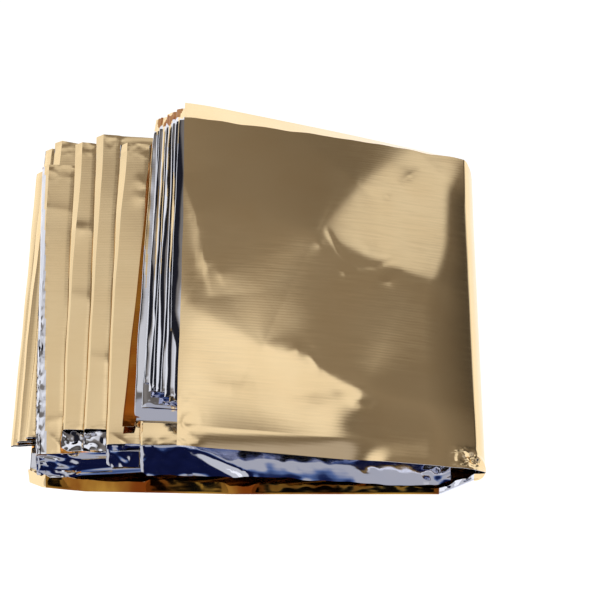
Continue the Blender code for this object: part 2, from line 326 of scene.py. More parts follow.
SEGMENT_SOFTNESS = 0.3  # a line's segments blend by their distance plus this, to this power
SEGMENT_POWER = -4
TINY = 0.001

# Crumpling is folded into sharp crests on a coarse and a finer scale.
STEEPNESS = 1.5
COARSE_SHARE = 1.6
COARSE_CREST = 0.5
FINE_SHARE = 0.5
FINE_CREST = 0.4
FINENESS = 2.3

PANEL_SWELLS = (
    # Along the front.
    FoldLine(
        70.0, 20.0, 6.0,
        ((-50, -27, 0.5), (-16, -47, 1.8), (9, -57, 3.3), (28, -65, 4.2), (24, -86, 3.4)),
    ),
    # From the back down to the middle, and on to the right.
    FoldLine(26.0, 40.0, 6.0, ((52, 68, 0.6), (27, 42, 1.8), (6, 14, 1.6))),
    FoldLine(36.0, 26.0, 3.0, ((8, 12, 1.0), (38, 0, 1.8), (66, -6, 1.2))),
)

PANEL_CREASES = (
    # The long crease at the left, and a nick beside it.
    FoldLine(
        22.0, 2.4, 0.25,
        ((-53.9, 40.6, 0.1), (-47.4, 19, 0.6), (-42.4, -7, 0.6), (-39, -25, 0)),
    ),
    FoldLine(4.0, 2.0, 0.4, ((-37.5, -8, 0), (-35.5, -13, 0.1), (-33.3, -19, 0))),
    # The smile, and the marks around it.
    FoldLine(
        0.9, 0.9, 0.3,
        ((11.5, 16.0, 0), (13.2, 12.0, -0.13), (17, 3.5, -0.13), (22.6, -2.6, 0)),
    ),
    FoldLine(
        0.9, 0.9, 0.3,
        ((20, 0, 0), (26.5, -3.2, -0.13), (34, -2.2, -0.13), (45.5, 4.1, 0)),
    ),
    FoldLine(1.6, 2.5, 0.4, ((5.9, 9.3, 0), (9, 6, 0.2), (13.1, 2.7, 0))),
    FoldLine(2.5, 1.6, 0.4, ((15.8, -5.4, 0), (20, -7, -0.2), (26, -6.4, 0))),
    FoldLine(1.4, 2.4, 0.4, ((34, -10.5, 0), (40, -8.5, -0.2), (47, -3.2, 0))),
    FoldLine(2.4, 2.4, 0.5, ((24, 12, 0), (31, 7, -0.08), (36, 9, 0))),
    # A smudge and a spot to the back.
    FoldLine(3.5, 3.5, 0.4, ((45.5, 45.5, 0), (51, 50.5, 0.32), (56.5, 56, 0))),
    FoldLine(1.6, 1.6, 1.0, ((39.8, 37.4, -0.14), (40.2, 36.8, -0.14))),
    # A zigzag, two curves, a dimple and a short ridge to the front.
    FoldLine(2.0, 3.5, 0.5, ((-8, -52, 0), (-1, -49, 0.22), (4.5, -49, 0))),
    FoldLine(2.5, 2.0, 0.5, ((4, -48.5, 0), (4.5, -52, 0.22), (7.5, -56, 0.2), (14.0, -56, 0))),
    FoldLine(3.0, 3.0, 0.5, ((-41.9, -68.8, 0), (-29.8, -69.1, 0.12), (-19.1, -66.7, 0))),
    FoldLine(2.0, 3.0, 0.5, ((-8.7, -68.6, 0), (-1.3, -69.9, 0.12), (8.3, -68, 0))),
    FoldLine(
        2.5, 1.6, 0.5,
        ((20, -69.5, 0), (25, -72.6, -0.16), (30, -72.4, -0.16), (34, -69, 0)),
    ),
    FoldLine(2.5, 2.5, 0.6, ((32.3, -76, 0), (35, -82, 0.12), (38.1, -89.1, 0))),
)

# Creases of the fan's layers, by the layer's name.
STRIP_CREASES = {
    "step_e_under": (
        FoldLine(9.0, 4.0, 0.6, ((-26.5, -84, 0.5), (-25, -95, 0.9))),
        FoldLine(5.0, 5.0, 0.6, ((-37, -84, -0.2), (-40, -95, -0.5))),
        FoldLine(3.0, 9.0, 0.5, ((-16, -84, -0.2), (-14, -95, -0.6))),
        FoldLine(4.0, 7.0, 0.5, ((24, -84, 0.3), (28, -95, 0.6))),
        FoldLine(6.0, 4.0, 0.5, ((2, -84, 0.0), (8, -95, -0.4))),
        FoldLine(4.0, 4.0, 0.5, ((41, -84, 0.0), (38, -95, -0.35))),
        FoldLine(3.0, 5.0, 0.4, ((59, -84, 0.5), (57, -95, 1.2))),
    ),
    "step_a_over": (
        FoldLine(3.0, 5.0, 0.5, ((-121, 43, 0.1), (-109, 41, 0.1))),
        FoldLine(3.0, 4.0, 0.5, ((-117, -68, 0), (-112, -70, 0.3), (-105, -68, 0.1))),
        FoldLine(2.5, 2.5, 0.4, ((-114.6, -73, 0), (-110, -78, 0.4), (-106, -82, 0.3))),
    ),
    "step_b_over": (
        FoldLine(1.5, 4.0, 0.4, ((-107, 31, 0.2), (-103, 29.5, 0.35), (-99, 30, 0.2))),
        FoldLine(2.0, 6.0, 0.5, ((-107, -6, 0.1), (-96, -8, 0.12))),
    ),
    "step_c_over": (
        FoldLine(2.0, 4.0, 0.5, ((-96, -40, 0.15), (-86, -42, 0.15))),
    ),
    "step_d_over": (
        FoldLine(2.0, 2.0, 0.4, ((-78, 55, 0), (-74, 51, 0.35), (-71, 53, 0))),
        FoldLine(2.0, 2.0, 0.4, ((-79, 46, 0), (-75, 43, 0.3), (-71, 44, 0))),
        FoldLine(2.5, 2.5, 0.4, ((-84, -79, 0), (-79, -83, 0.5), (-75, -86, 0.4))),
    ),
}

# ---- How finely the sheet is divided ----

# Columns from left to right: close together next to a left fold, where a layer shows, and wide apart where
# it's hidden.
PANEL_STEP = 0.72
STRIP_STEP = 0.9
EDGE_STEP = 1.2
HIDDEN_STEP = 14.0
STRIP_WIDTH = 17.0
PACKET_STRIP_WIDTH = 6.5
STRIP_MARGIN = 4.0
STRIP_GAP = 2.5
STRIP_EVEN_SHARE = 0.35
BAND_COLUMNS = 4
BAND_COLUMNS_WIDTH = 1.6

# Folds: how far they reach past the layers' ends, their curve's handles for that, and their columns.
LEFT_NOSE = 0.45
FOLD_REACH = 0.8
HANDLE_SHARE = 4 / 3
FOLD_SEGMENTS = 10
PACKET_FOLD_SEGMENTS = 6
HIDDEN_FOLD_SEGMENTS = 4
TURN_SEGMENTS = 24

# Rows from the front to the first break, between the breaks, and from the last break to the back.
Rows = namedtuple("Rows", "front middle back")
PANEL_ROWS = Rows(26, 116, 18)
STRIP_ROWS = Rows(14, 64, 12)
EDGED_ROWS = Rows(14, 130, 14)
BASE_ROWS = Rows(26, 50, 6)

# How far the breaks are from the edges: behind the hem and the panel's edge, and on the other layers.
FRONT_BREAKS = {0: 3.0, PANEL_LEVEL: 11.0}
STRIP_FRONT_BREAK = 6.0
FLAP_BREAK = 0.5
BACK_BREAK = 9.0

CREASE_ANGLE = 0.4  # an edge between faces is sharp from this angle on, in radians


def mix(a, b, share):
    """What lies at a share of the way from a to b."""
    return a + (b - a) * share


def clamp(value):
    return max(0.0, min(1.0, value))


def smooth(value):
    """From 0 to 1 with a soft start and a soft end."""
    value = clamp(value)
    return value * value * (3 - 2 * value)


def rising(value, start, width):
    """0 up to the start, and from there softly up to 1 over the width."""
    return smooth((value - start) / width)


def falling(value, end, width):
    """1 up to a width before the end, and from there softly down to 0 at the end."""
    return smooth((end - value) / width)


def uneven(x, y, seed):
    """Smooth unevenness between about -1 and 1, with waves about 1 long. The seed only picks a stretch of
    it, and so does a factor on a level, a fold or a pleat."""
    return noise.noise(Vector((x, y, seed)))


def crumple(x, y, seed, size):
    """Sharp-edged crumpling between about -1 and 1: folded unevenness on two scales."""
    coarse = uneven(x / size, y / size, seed)
    fine = uneven(x / size * FINENESS, y / size * FINENESS, seed + 9.0)
    coarse_folds = COARSE_CREST - abs(coarse) * STEEPNESS
    fine_folds = FINE_CREST - abs(fine) * STEEPNESS
    return COARSE_SHARE * coarse_folds + FINE_SHARE * fine_folds


def spaced(start, end, step):
    """Even steps of about the given size from start to end, both ends included."""
    count = max(1, round(abs(end - start) / step))
    return [mix(start, end, i / count) for i in range(count + 1)]


def through(points, x):
    """A value that runs straight from point to point."""
    for (ax, a), (bx, b) in zip(points, points[1:]):
        if x <= bx:
            return mix(a, b, clamp((x - ax) / (bx - ax)))
    return points[-1][1]


# ---- Where the layers' edges are ----


def layer_at(level):
    if level < FAN_LEVELS:
        return FAN[level]
    if level < PANEL_LEVEL:
        return PACKET[(level - FAN_LEVELS) // 2]
    return PANEL


def depth_share(y):
    """0 at the front reference and 1 at the back one."""
    return (y - FRONT_REFERENCE_Y) / (BACK_REFERENCE_Y - FRONT_REFERENCE_Y)


def right_end_x(level):
    if level in (0, PANEL_LEVEL):
        return PANEL_RIGHT_X
    if level in (FAN_LEVELS - 1, PACKET_TOP_LEVEL):
        return INNER_TURN_X
    if level in (SHELF_LEVEL - 1, SHELF_LEVEL):
        return SHELF_RIGHT_X
    if level < FAN_LEVELS:
        fold_x = RIGHT_FOLD_FIRST_X + RIGHT_FOLD_STEP_X * ((level - 1) // 2)
        return min(fold_x, INNER_TURN_X - INNER_TURN_MARGIN)
    if level == FAN_LEVELS:
        return PACKET_FREE_END_X
    return PACKET_RIGHT_FOLD_X + PACKET_RIGHT_FOLD_STEP_X * ((level - FAN_LEVELS - 1) // 2)


def left_end_x(level, y):
    layer = layer_at(level)
    fold = level // 2
    share = depth_share(y)
    bow = FOLD_BOW * math.sin(FOLD_BOW_PHASE * fold) * math.sin(math.pi * clamp(share))
    waver = FOLD_WAVER * uneven(y / FOLD_WAVER_LENGTH, fold * 7.3, 1.0)
    return mix(layer.x_front, layer.x_back, share) + bow + waver


def share_along(level, x):
    """0 at a level's left end and 1 at its right end."""
    layer = layer_at(level)
    left_x = (layer.x_front + layer.x_back) / 2
    return clamp((x - left_x) / (right_end_x(level) - left_x))


def front_edge_y(level, x):
    layer = layer_at(level)
    if layer.name in FRONT_EDGES:
        return through(FRONT_EDGES[layer.name], x)
    return mix(layer.front_left, layer.front_right, share_along(level, x))


def back_edge_y(level, x):
    layer = layer_at(level)
    return mix(layer.back_left, layer.back_right, share_along(level, x))


def flap_length(level, x):
    """How far a layer's flap reaches past its front edge: ragged, and shorter at its two ends."""
    layer = layer_at(level)
    if not layer.flap:
        return 0.0
    from_left = (x - max(layer.x_front, layer.x_back)) / FLAP_LEFT_CORNER
    from_right = (right_end_x(level) - x) / FLAP_RIGHT_CORNER
    ragged = 1 + FLAP_RAGGED * uneven(x / FLAP_RAGGED_LENGTH, level * 3.1, 4.0)
    return layer.flap * ragged * mix(FLAP_CORNER_SHARE, 1.0, smooth(min(from_left, from_right)))


def panel_share(x):
    """0 at the panel's left edge and 1 where its right turn starts."""
    return (x - PANEL.x_front) / (PANEL_RIGHT_X - PANEL.x_front)


def back_roll_depth(x):
    wave = BACK_ROLL_WAVE * uneven(x / BACK_ROLL_WAVE_LENGTH, 3.0, 7.0)
    return mix(BACK_ROLL_LEFT, BACK_ROLL_RIGHT, clamp(panel_share(x))) + wave


def back_roll_start_y(x):
    edge_y = mix(PANEL.back_left, PANEL.back_right, panel_share(x))
    return edge_y - back_roll_depth(x)


# ---- The panel's shape ----


def line_rise(line, x, y):
    """The height that one fold line adds at a point: its segments blend, the nearest one counting most."""
    total = rise = distance = leaning = 0.0
    for (ax, ay, a_rise), (bx, by, b_rise) in zip(line.points, line.points[1:]):
        run_x, run_y = bx - ax, by - ay
        share = clamp(((x - ax) * run_x + (y - ay) * run_y) / (run_x ** 2 + run_y ** 2))
        off_x, off_y = x - ax - share * run_x, y - ay - share * run_y
        off = math.hypot(off_x, off_y)
        weight = (off + SEGMENT_SOFTNESS) ** SEGMENT_POWER
        across = run_x * off_y - run_y * off_x
        total += weight
        rise += weight * mix(a_rise, b_rise, share)
        distance += weight * off
        leaning += weight * across / (math.hypot(run_x, run_y) * max(off, TINY))
    rise, distance, leaning = rise / total, distance / total, leaning / total
    width = mix(line.right_width, line.left_width, smooth((leaning + 1) / 2))
    return rise * math.exp(-(math.hypot(distance, line.crest) - line.crest) / width)


def panel_crown(x, behind_front):
    """The panel is highest in the middle, and stays flatter towards its left edge."""
    across = clamp(panel_share(x))
    along = clamp(behind_front / (PANEL.back_left - PANEL.front_left))
    bulge = math.sin(math.pi * across)
    return PANEL_CROWN * bulge * (bulge if across < 0.5 else 1.0) * math.sin(math.pi * along)


def panel_hem_droop(x, behind_front):
    share = mix(PANEL_HEM_LEFT_SHARE, 1.0, rising(x, PANEL.x_front, PANEL_HEM_LEFT_WIDTH))
    share *= falling(x, *PANEL_HEM_RIGHT)
    return PANEL_HEM_DROOP * share * clamp(1 - behind_front / PANEL_HEM_DEPTH) ** PANEL_HEM_BEND


def panel_right_fall(x, y):
    start_x = mix(RIGHT_FALL_FRONT_X, RIGHT_FALL_BACK_X, rising(y, *RIGHT_FALL_TO_BACK))
    fall = RIGHT_FALL_SLOPE * max(0.0, x - start_x) ** 2 / (2 * (PANEL_RIGHT_X - start_x))
    return fall * falling(y, back_edge_y(PANEL_LEVEL, x), RIGHT_FALL_FADE)


def panel_corner_crumple(x, y):
    corner = rising(x, *RIGHT_CORNER_X) * falling(y, *RIGHT_CORNER_Y)
    corner += LEFT_CORNER_SHARE * falling(x, *LEFT_CORNER_X) * falling(y, *LEFT_CORNER_Y)
    return CORNER_CRUMPLE * corner * crumple(x, y, 17.0, CORNER_CRUMPLE_SIZE)


def panel_shape(x, y):
    """How far the panel stands above the plain slope. Its swells and creases fade out at the front edge."""
    behind_front = y - front_edge_y(PANEL_LEVEL, x)
    lines = sum(line_rise(line, x, y) for line in PANEL_SWELLS + PANEL_CREASES)
    shape = panel_crown(x, behind_front) + lines * smooth(behind_front / PANEL_FADE_DEPTH)
    shape -= panel_hem_droop(x, behind_front) + panel_right_fall(x, y)
    return shape + panel_corner_crumple(x, y)


# ---- The packet's shape ----


def packet_lift(level, x, y):
    """How far the packet's left end stands above the fan: more and more as far as the middle crease."""
    from_back = (BACK_REFERENCE_Y - y) / (BACK_REFERENCE_Y - LIFT_TOP_Y)
    rise = from_back - LIFT_SOFTNESS * math.log1p(math.exp((from_back - 1) / LIFT_SOFTNESS))
    end_x = PANEL_RIGHT_X if level == PANEL_LEVEL else PACKET_LIFT_END_X
    from_left = falling(x, end_x, end_x - PANEL.x_front)
    pleat = (level - FAN_LEVELS) // 2
    return PACKET_LIFT * rise * from_left * mix(LOWEST_PLEAT_LIFT, 1.0, clamp(pleat / WHOLE_LIFT_PLEAT))


def back_roll(x, y):
    return BACK_ROLL_DROOP * max(0.0, y - back_roll_start_y(x)) / back_roll_depth(x)


def pleat_droop(level, x, y):
    """Each pleat of the packet hangs down towards its fold in its own way."""
    pleat = (level - FAN_LEVELS) // 2
    past = 1 - clamp((x - left_end_x(level, y)) / PLEAT_BENDS[pleat])
    waver = uneven(y / PLEAT_WAVER_LENGTH, pleat * 4.7, 2.0)
    waver += PLEAT_RIPPLE_SHARE * uneven(y / PLEAT_RIPPLE_LENGTH, pleat * 2.9, 6.0)
    whole = PLEAT_DROOPS[pleat] + PLEAT_WAVER * waver
    if pleat == len(PACKET) - 1:
        whole += LAST_PLEAT_FRONT_DROOP * falling(y, *LAST_PLEAT_FRONT)
    return max(0.0, whole) * past ** 2 * (1.0 if level % 2 else PLEAT_SHARE_UNDER)


def front_droop(level, past_front):
    """The lowest pleats bend down at the front to rest on the fan."""
    pleat = (level - FAN_LEVELS) // 2
    if pleat >= len(FRONT_DROOPS):
        return 0.0
    return FRONT_DROOPS[pleat] * clamp(past_front / FRONT_DROOP_DEPTH + 1) ** FRONT_DROOP_BEND


# ---- The fan's shape ----


def slope_run(level, x):
    """How far a point lies past the edge where the stack starts to thin out to the right."""
    past = x - RIGHT_FOLD_FIRST_X
    if level <= STEPS_TOP_LEVEL:
        return max(0.0, past)
    return SLOPE_SOFTNESS * math.log1p(math.exp((past - SLOPE_DELAY) / SLOPE_SOFTNESS))


def lying_height(level, x):
    """Where a level lies in the stack, before anything lifts, bends or crumples it."""
    stacked = PITCH * min(level, STEPS_TOP_LEVEL) + UPPER_PITCH * max(0, level - STEPS_TOP_LEVEL)
    return FILM / 2 + LOWEST_GAP + stacked - SLOPE * slope_run(level, x)


def puff_width(y):
    """How wide the band is over which a step slopes down to its left fold."""
    widening = (clamp(depth_share(y)) - PUFF_START) / (1 - PUFF_START)
    return mix(PUFF_FRONT, PUFF_BACK, smooth(widening))


def puffed_edge(level, x, y):
    """How far the step has sunk in that band."""
    drop = PUFF_SLOPE * max(0.0, puff_width(y) - (x - left_end_x(level, y)))
    return drop * (1.0 if level % 2 else PUFF_SHARE_UNDER)


def dip(level, x, y):
    """A step sinks a little where the next one lies on it."""
    to_next = left_end_x(level // 2 * 2 + 2, y) - x
    return DIP_DEPTH * clamp(1 - to_next / DIP_WIDTH) ** 2


def flap_drop(level, x, z, hang):
    """How far a flap's free edge hangs down. To the right the last one flattens out into a shelf."""
    drop = layer_at(level).droop
    if level == SHELF_LEVEL:
        in_middle = rising(x, *SHELF_CURL_LEFT) * falling(x, *SHELF_CURL_RIGHT)
        on_shelf = rising(x, mix(SHELF_TOP_X, SHELF_FOOT_X, hang), SHELF_BLEND)
        drop = mix(drop, SHELF_DROP + SHELF_CURL * hang ** 2 * in_middle, on_shelf)
    return min(drop, max(0.0, z - FLAP_FOOT_Z))


def shelf_lift(level, x, y):
    """At the right the shelf stands clear of the surface, and the layers over it are squeezed."""
    if not SHELF_LEVEL <= level < PANEL_LEVEL:
        return 0.0
    wanted = max(0.0, FLAP_FOOT_Z + SHELF_DROP - lying_height(SHELF_LEVEL, x))
    wanted *= falling(y, *SHELF_LIFT_FRONT)
    return wanted * (PANEL_LEVEL - level) / (PANEL_LEVEL - SHELF_LEVEL)


def last_step_bend(level, x, y):
    """How the last step lies: curled up a little at its left fold, and settled at its front."""
    curl = STEP_F_CURL * clamp(1 - (x - left_end_x(level, y)) / STEP_F_CURL_WIDTH)
    from_front = y - front_edge_y(level, x)
    settling = clamp((STEP_F_SETTLE_DEPTH - from_front) / STEP_F_SETTLE_DEPTH) ** STEP_F_SETTLE_BEND
    return curl - STEP_F_SETTLE * (level - STEPS_TOP_LEVEL) * settling


def front_crumpling(level, x):
    """How strongly a layer's front is crumpled. A flap is more so in the corner at the right."""
    layer = layer_at(level)
    crumpling = layer.crumple
    if layer.flap:
        crumpling += FLAP_RIGHT_CRUMPLE * rising(x, *FLAP_RIGHT)
    if level == SHELF_LEVEL:
        crumpling *= mix(SHELF_LEFT_CRUMPLING, 1.0, rising(x, *SHELF_LEFT))
    return crumpling


def silver_edge_crumple(level, x, y):
    from_edge = clamp((x - left_end_x(level, y)) / SILVER_EDGE_FRONT)
    strength = mix(1.0, SILVER_EDGE_CALM, smooth(clamp(depth_share(y)) * SILVER_EDGE_CALMING))
    folds = crumple(x / SILVER_FOLD_WIDTH, y / SILVER_FOLD_LENGTH, 31.0, 1.0)
    return SILVER_EDGE_CRUMPLE * strength * (1 - from_edge) * folds


def strip_relief(level, x, y):
    """Gentle unevenness of a layer, sharp crumples at its two ends, and its own creases."""
    layer = layer_at(level)
    near_front = falling(y, front_edge_y(level, x) + FRONT_CRUMPLE_DEPTH, FRONT_CRUMPLE_DEPTH)
    near_back = rising(y, back_edge_y(level, x) - BACK_CRUMPLE_DEPTH, BACK_CRUMPLE_DEPTH)
    seed = level * 5.7
    relief = STRIP_WAVE * uneven(x / STRIP_WAVE_LENGTH_X, y / STRIP_WAVE_LENGTH_Y, level * 3.3)
    if layer.name == "step_a_under":
        folds = crumple(x / STREAK_STRETCH, y, seed, STREAK_SIZE)
    else:
        folds = crumple(x, y, seed, FRONT_CRUMPLE_SIZE)
    relief += front_crumpling(level, x) * near_front * folds
    relief += BACK_CRUMPLE * near_back * crumple(x, y, seed, BACK_CRUMPLE_SIZE)
    if layer.name.startswith("step_a"):
        relief += silver_edge_crumple(level, x, y)
    for line in STRIP_CREASES.get(layer.name, ()):
        relief += line_rise(line, x, y)
    return relief


def height(level, x, y):
    """The height of the film's middle at a place on a level."""
    if level == 0:
        return FILM / 2
    layer = layer_at(level)
    front_y = front_edge_y(level, x)
    z = lying_height(level, x)
    if level > 1:
        z -= OVERHANG_SLOPE * max(0.0, OVERHANG_X - x)
    z += shelf_lift(level, x, y)
    if layer.flap:
        hang = clamp((front_y - y) / layer.flap)
        z -= flap_drop(level, x, z, hang) * hang ** FLAP_BEND
    if level >= FAN_LEVELS:
        z += packet_lift(level, x, y) - back_roll(x, y)
    if level == PANEL_LEVEL:
        return z + panel_shape(x, y)
    if level >= FAN_LEVELS:
        z -= pleat_droop(level, x, y) + front_droop(level, front_y - y)
    elif 1 < level <= STEPS_TOP_LEVEL:
        z -= puffed_edge(level, x, y) + dip(level, x, y)
    if layer.name.startswith("step_f"):
        z += last_step_bend(level, x, y)
    if layer.name == "step_e_over":
        z -= STEP_E_DROOP * clamp((front_y + STEP_E_DROOP_DEPTH - y) / STEP_E_DROOP_DEPTH) ** 2
    return z + strip_relief(level, x, y)


# ---- The sheet as columns of points, from its front edge to its back edge ----


def row_depths(level, x, rows):
    front_y = front_edge_y(level, x) - flap_length(level, x)
    back_y = back_edge_y(level, x)
    if layer_at(level).flap:
        front_break = front_edge_y(level, x) + FLAP_BREAK
    else:
        front_break = front_y + FRONT_BREAKS.get(level, STRIP_FRONT_BREAK)
    back_break = back_roll_start_y(x) if level >= FAN_LEVELS else back_y - BACK_BREAK
    depths = [mix(front_y, front_break, i / rows.front) for i in range(rows.front)]
    depths += [mix(front_break, back_break, i / rows.middle) for i in range(rows.middle)]
    depths += [mix(back_break, back_y, i / rows.back) for i in range(rows.back + 1)]
    return depths


def along_strip(level, y, shift):
    """A column's distance from the left fold. On the fan, the first columns share out the sloping band."""
    if not 1 < level <= STEPS_TOP_LEVEL:
        return shift
    width = puff_width(y)
    if shift <= BAND_COLUMNS_WIDTH:
        return width * shift / BAND_COLUMNS_WIDTH
    return mix(width, STRIP_WIDTH, (shift - BAND_COLUMNS_WIDTH) / (STRIP_WIDTH - BAND_COLUMNS_WIDTH))


def base_hem(points, x):
    """The base's front margin turned up and back on itself, as deep and as steep as it is there."""
    wave = HEM_TILT_WAVE * uneven(x / HEM_TILT_WAVE_LENGTH, 5.0, 9.0)
    tilt = math.radians(through(HEM_TILTS, x) + wave)
    ragged = HEM_WAVE * uneven(x / HEM_WAVE_LENGTH, 8.0, 1.0)
    depth = mix(HEM_DEPTH_LEFT, HEM_DEPTH_RIGHT, share_along(0, x)) + ragged
    centre_y = front_edge_y(0, x) + HEM_RADIUS
    crumpling = mix(1.0, HEM_CORNER_CRUMPLING, rising(x, *HEM_CORNER))
    hem = []
    for i, point in enumerate(points):
        share = i / len(points)
        inwards = depth * max(0.0, 1 - share / HEM_SHARE)
        around = mix(tilt, math.pi, clamp((share - HEM_SHARE) / (1 - HEM_SHARE)))
        y = centre_y - HEM_RADIUS * math.sin(around) + inwards * math.cos(tilt)
        z = FILM / 2 + HEM_RADIUS * (1 + math.cos(around)) + inwards * math.sin(tilt)
        z += HEM_CRUMPLE * crumpling * inwards / depth * crumple(x, y, 3.0, HEM_CRUMPLE_SIZE)
        hem.append(Vector((point.x, y, z)))
    return hem


def layer_column(level, x, rows, shift=None):
    """One column of points across a level. With a shift, it follows the left fold at that distance."""
    points = []
    for y in row_depths(level, x, rows):
        at_x = x if shift is None else left_end_x(level, y) + along_strip(level, y, shift)
        points.append(Vector((at_x, y, height(level, at_x, y))))
    if level == 0:
        points[:rows.front] = base_hem(points[:rows.front], x)
    return points


def strip_places(width):
    """Distances from the left fold: closer together at first, where the layer rounds off."""
    count = round(width / STRIP_STEP)
    band = [BAND_COLUMNS_WIDTH * i / BAND_COLUMNS for i in range(BAND_COLUMNS)]
    places = [i / count for i in range(count + 1)]
    beyond = width - BAND_COLUMNS_WIDTH
    shares = [STRIP_EVEN_SHARE * place + (1 - STRIP_EVEN_SHARE) * place ** 2 for place in places]
    return band + [BAND_COLUMNS_WIDTH + beyond * share for share in shares]


def layer_columns(level, to_right, rows, fine=None):
    """The columns of a level. Beyond the strip next to its left fold they are wide apart, unless a finer
    step is given."""
    layer = layer_at(level)
    left_x = (layer.x_front + layer.x_back) / 2
    right_x = right_end_x(level)
    if level > STEPS_TOP_LEVEL:
        width = PACKET_STRIP_WIDTH
    else:
        width = min(STRIP_WIDTH, right_x - left_x - STRIP_MARGIN)
    columns = [layer_column(level, left_x + place, rows, place) for place in strip_places(width)]
    start_x = max(layer.x_front, layer.x_back) + width + STRIP_GAP
    columns += [layer_column(level, x, rows) for x in spaced(start_x, right_x, fine or HIDDEN_STEP)]
    return columns if to_right else columns[::-1]


def bezier(a, b, c, d, t):
    return a * (1 - t) ** 3 + b * 3 * t * (1 - t) ** 2 + c * 3 * t ** 2 * (1 - t) + d * t ** 3


def fold_columns(start, before_start, end, after_end, handles, segments):
    """A fold between two columns, which leaves each along its own slope, as far as its handle says."""
    columns = []
    for i in range(1, segments):
        column = []
        for a, before, b, after in zip(start, before_start, end, after_end):
            leaving = a + (a - before).normalized() * handles[0]
            arriving = b + (b - after).normalized() * handles[1]
            column.append(bezier(a, leaving, arriving, b, i / segments))
        columns.append(column)
    return columns


def stretch_of_sheet(levels, heading_right, rows, fine=None):
    """The columns of consecutive levels with the folds between them. Fine gives some levels finer steps."""
    columns = []
    previous = None
    for level in levels:
        following = layer_columns(level, heading_right, rows, (fine or {}).get(level))
        if previous is not None:
            if heading_right:
                reach = LEFT_NOSE
                segments = FOLD_SEGMENTS if level <= STEPS_TOP_LEVEL else PACKET_FOLD_SEGMENTS
            elif abs(previous - level) > 1:
                reach, segments = INNER_TURN_REACH, TURN_SEGMENTS
            else:
                reach, segments = FOLD_REACH, HIDDEN_FOLD_SEGMENTS
            handles = (reach * HANDLE_SHARE, reach * HANDLE_SHARE)
            columns += fold_columns(columns[-1], columns[-2], following[0], following[1], handles, segments)
        columns += following
        previous = level
        heading_right = not heading_right
    return columns


def packet_columns():
    """The packet's pleats from the inner turn, which starts at the right end of the fan's top level."""
    levels = [FAN_LEVELS - 1] + list(range(PACKET_TOP_LEVEL, FAN_LEVELS - 1, -1))
    on_the_fan = len(layer_columns(FAN_LEVELS - 1, True, STRIP_ROWS))
    return stretch_of_sheet(levels, True, STRIP_ROWS)[on_the_fan - 1:]


def top_panel_columns():
    """The top panel and its turn down to the surface at the right, where the base carries on."""
    columns = layer_columns(PANEL_LEVEL, True, PANEL_ROWS, PANEL_STEP)
    landing = layer_column(0, right_end_x(0), PANEL_ROWS)
    inside = [point - Vector((1.0, 0.0, 0.0)) for point in landing]
    turn = fold_columns(columns[-1], columns[-2], landing, inside, OUTER_TURN_HANDLES, TURN_SEGMENTS)
    return columns + turn + [landing]


# ---- Materials ----


class Nodes:
    """Short names for building a node tree."""

    def __init__(self, tree):
        self.tree = tree

    def add(self, kind, settings=None, **inputs):
        node = self.tree.nodes.new(kind)
        for name, value in (settings or {}).items():
            setattr(node, name, value)
        for name, value in inputs.items():
            self.set(node.inputs[name.replace("_", " ")], value)
        return node

    def set(self, socket, value):
        if isinstance(value, bpy.types.NodeSocket):
            self.tree.links.new(value, socket)
        else:
            socket.default_value = value

    def math(self, operation, a, b=0.0):
        node = self.tree.nodes.new("ShaderNodeMath")
        node.operation = operation
        self.set(node.inputs[0], a)
        self.set(node.inputs[1], b)
        return node.outputs[0]

    def blend(self, under, over, share):
        """A colour that turns from one into the other by a share."""
        node = self.add("ShaderNodeMix", {"data_type": "RGBA"})
        self.set(node.inputs[0], share)
        self.set(node.inputs[6], under)
        self.set(node.inputs[7], over)
        return node.outputs[2]

    def ramp_between(self, value, low, high, to_low=0.0, to_high=1.0):
        node = self.tree.nodes.new("ShaderNodeMapRange")
        node.interpolation_type = "SMOOTHSTEP"
        for name, number in (("From Min", low), ("From Max", high), ("To Min", to_low), ("To Max", to_high)):
            node.inputs[name].default_value = number
        self.set(node.inputs["Value"], value)
        return node.outputs["Result"]


def foil_material(name, colour, shade, roughness, line_strength):
    """Metallised film: near-mirror, with the fine lines that the coating rollers leave along the film, and
    clouds where the colour turns to its shade."""
    material = bpy.data.materials.new(name)
    material.use_nodes = True
    n = Nodes(material.node_tree)
    shader = material.node_tree.nodes["Principled BSDF"]
    uv = n.add("ShaderNodeUVMap").outputs["UV"]

    lines = n.add(
        "ShaderNodeTexWave",
        {"wave_type": "BANDS", "bands_direction": "Y", "wave_profile": "SIN"},
        Vector=uv, Scale=230.0, Distortion=1.5, Detail=2.0, Detail_Scale=0.4,
    ).outputs["Fac"]
    stretched = n.add("ShaderNodeMapping", Vector=uv, Scale=(60.0, 900.0, 1.0)).outputs["Vector"]
    scratches = n.add("ShaderNodeTexNoise", Vector=stretched, Scale=1.0, Detail=3.0).outputs["Fac"]
    clouds = n.add("ShaderNodeTexNoise", Vector=uv, Scale=38.0, Detail=4.0).outputs["Fac"]

    relief = n.math("ADD", n.math("MULTIPLY", lines, 0.55), n.math("MULTIPLY", scratches, 0.6))
    bump = n.add("ShaderNodeBump", Strength=line_strength, Distance=0.00012, Height=relief)
    wide = n.add("ShaderNodeBump", Strength=0.08, Distance=0.0006, Height=clouds, Normal=bump.outputs[0])
    n.set(shader.inputs["Normal"], wide.outputs[0])

    base_colour = n.blend((*colour, 1.0), (*shade, 1.0), n.ramp_between(clouds, 0.35, 0.7))
    n.set(shader.inputs["Base Color"], base_colour)
    rough = n.ramp_between(scratches, 0.3, 0.7, roughness * 0.8, roughness * 1.2)
    n.set(shader.inputs["Roughness"], rough)
    shader.inputs["Metallic"].default_value = 1.0
    return material


